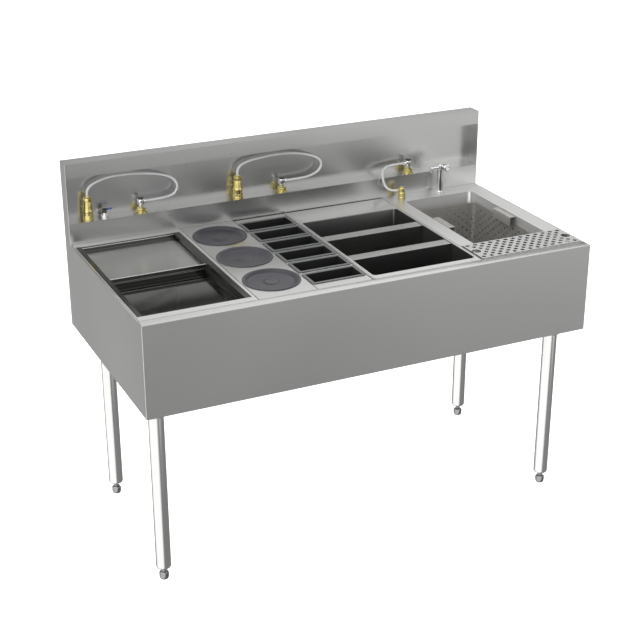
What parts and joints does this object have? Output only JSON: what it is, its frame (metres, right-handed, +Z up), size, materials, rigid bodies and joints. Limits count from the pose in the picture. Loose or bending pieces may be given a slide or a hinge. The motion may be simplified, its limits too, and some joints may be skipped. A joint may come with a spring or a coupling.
{
  "type": "underbar cocktail station",
  "caption": "Freestanding stainless bar station with a covered ice bin, glass rimmer, condiment pans, bottle wells and a sink with a lift-out perforated basket.",
  "frame": {"origin": "on the floor under the middle of the footprint", "axes": "+X to the right along the width, +Y to the wall behind, +Z up"},
  "size_m": [1.2192, 0.616, 0.941],
  "materials": {
    "stainless": "satin brushed stainless sheet",
    "lid_steel": "brushed stainless",
    "basket_steel": "perforated stainless",
    "leg_steel": "satin stainless tube",
    "chrome": "polished",
    "brass": "turned",
    "foam": "cellular insulation",
    "track": "black runner",
    "dark_lid": null,
    "dish": "dark grey moulding",
    "pan": "black insert with a grey edge",
    "lever": "blue grip",
    "hose": "clear white tube",
    "foot": "stainless"
  },
  "bodies": {
    "station": {"front_apron": "stainless", "left_side_panel": "stainless", "right_side_panel": "stainless", "rear_panel": "stainless", "backsplash": "stainless", "ice_bin_liner": "stainless", "ice_bin_foam": "foam", "ice_bin_shell": "stainless", "ice_bin_drain": "chrome", "left_lid_track": "track", "right_lid_track": "track", "rimmer_panel": "stainless", "condiment_tray": "stainless", "insert_rail": "stainless", "bottle_well": "stainless", "bottle_divider_rear": "stainless", "bottle_divider_front": "stainless", "sink_bowl": "stainless", "sink_drain": "chrome", "left_leg_channel": "stainless", "right_leg_channel": "stainless", "leg_sockets": "stainless", "leg_front_left": "leg_steel", "leg_back_left": "leg_steel", "leg_front_right": "leg_steel", "leg_back_right": "leg_steel", "left_check_valve": "brass", "middle_check_valve": "brass", "ball_valve": "chrome", "left_outlet_base": "brass", "left_outlet_head": "chrome", "middle_outlet_base": "brass", "middle_outlet_head": "chrome", "right_outlet_base": "brass", "right_outlet_head": "chrome", "deck_fitting": "brass", "faucet": "chrome", "left_hose": "hose", "middle_hose": "hose", "right_hose": "hose"},
    "rear_lid": {"rear_lid": "lid_steel"},
    "front_lid": {"front_lid": "dark_lid"},
    "rimmer_dish_front": {"rimmer_dish_front": "dish"},
    "rimmer_dish_middle": {"rimmer_dish_middle": "dish"},
    "rimmer_dish_rear": {"rimmer_dish_rear": "dish"},
    "condiment_pan_1": {"condiment_pan_1": "pan"},
    "condiment_pan_2": {"condiment_pan_2": "pan"},
    "condiment_pan_3": {"condiment_pan_3": "pan"},
    "condiment_pan_4": {"condiment_pan_4": "pan"},
    "condiment_pan_5": {"condiment_pan_5": "pan"},
    "condiment_pan_6": {"condiment_pan_6": "pan"},
    "sink_basket": {"sink_basket": "basket_steel"},
    "drain_plate": {"drain_plate": "stainless"},
    "ball_valve_lever": {"ball_valve_lever": "lever"},
    "faucet_knob": {"faucet_knob": "chrome"},
    "foot_front_left": {"foot_front_left": "foot"},
    "foot_back_left": {"foot_back_left": "foot"},
    "foot_front_right": {"foot_front_right": "foot"},
    "foot_back_right": {"foot_back_right": "foot"}
  },
  "joints": [
    {"name": "rear_lid_slide", "type": "slide", "parent": "station", "child": "rear_lid", "axis": [0, -1, 0], "range_m": [0, 0.257]},
    {"name": "front_lid_slide", "type": "slide", "parent": "station", "child": "front_lid", "axis": [0, 1, 0], "range_m": [0, 0.235]},
    {"name": "rimmer_dish_front_lift", "type": "slide", "parent": "station", "child": "rimmer_dish_front", "axis": [0, 0, 1], "range_m": [0, 0.08]},
    {"name": "rimmer_dish_middle_lift", "type": "slide", "parent": "station", "child": "rimmer_dish_middle", "axis": [0, 0, 1], "range_m": [0, 0.08]},
    {"name": "rimmer_dish_rear_lift", "type": "slide", "parent": "station", "child": "rimmer_dish_rear", "axis": [0, 0, 1], "range_m": [0, 0.08]},
    {"name": "condiment_pan_1_lift", "type": "slide", "parent": "station", "child": "condiment_pan_1", "axis": [0, 0, 1], "range_m": [0, 0.15]},
    {"name": "condiment_pan_2_lift", "type": "slide", "parent": "station", "child": "condiment_pan_2", "axis": [0, 0, 1], "range_m": [0, 0.15]},
    {"name": "condiment_pan_3_lift", "type": "slide", "parent": "station", "child": "condiment_pan_3", "axis": [0, 0, 1], "range_m": [0, 0.15]},
    {"name": "condiment_pan_4_lift", "type": "slide", "parent": "station", "child": "condiment_pan_4", "axis": [0, 0, 1], "range_m": [0, 0.15]},
    {"name": "condiment_pan_5_lift", "type": "slide", "parent": "station", "child": "condiment_pan_5", "axis": [0, 0, 1], "range_m": [0, 0.15]},
    {"name": "condiment_pan_6_lift", "type": "slide", "parent": "station", "child": "condiment_pan_6", "axis": [0, 0, 1], "range_m": [0, 0.15]},
    {"name": "sink_basket_lift", "type": "slide", "parent": "station", "child": "sink_basket", "axis": [0, 0, 1], "range_m": [0, 0.2]},
    {"name": "drain_plate_lift", "type": "slide", "parent": "station", "child": "drain_plate", "axis": [0, 0, 1], "range_m": [0, 0.08]},
    {"name": "ball_valve_turn", "type": "hinge", "parent": "station", "child": "ball_valve_lever", "pos_m": [-0.5066, 0.28475, 0.802], "axis": [0, 0, -1], "range_deg": [0, 90]},
    {"name": "faucet_turn", "type": "hinge", "parent": "station", "child": "faucet_knob", "pos_m": [0.4844, 0.234, 0.8], "axis": [0, -1, 0], "range_deg": [0, 90]},
    {"name": "foot_front_left_screw", "type": "slide", "parent": "station", "child": "foot_front_left", "axis": [0, 0, -1], "range_m": [0, 0.025]},
    {"name": "foot_back_left_screw", "type": "slide", "parent": "station", "child": "foot_back_left", "axis": [0, 0, -1], "range_m": [0, 0.025]},
    {"name": "foot_front_right_screw", "type": "slide", "parent": "station", "child": "foot_front_right", "axis": [0, 0, -1], "range_m": [0, 0.025]},
    {"name": "foot_back_right_screw", "type": "slide", "parent": "station", "child": "foot_back_right", "axis": [0, 0, -1], "range_m": [0, 0.025]}
  ]
}
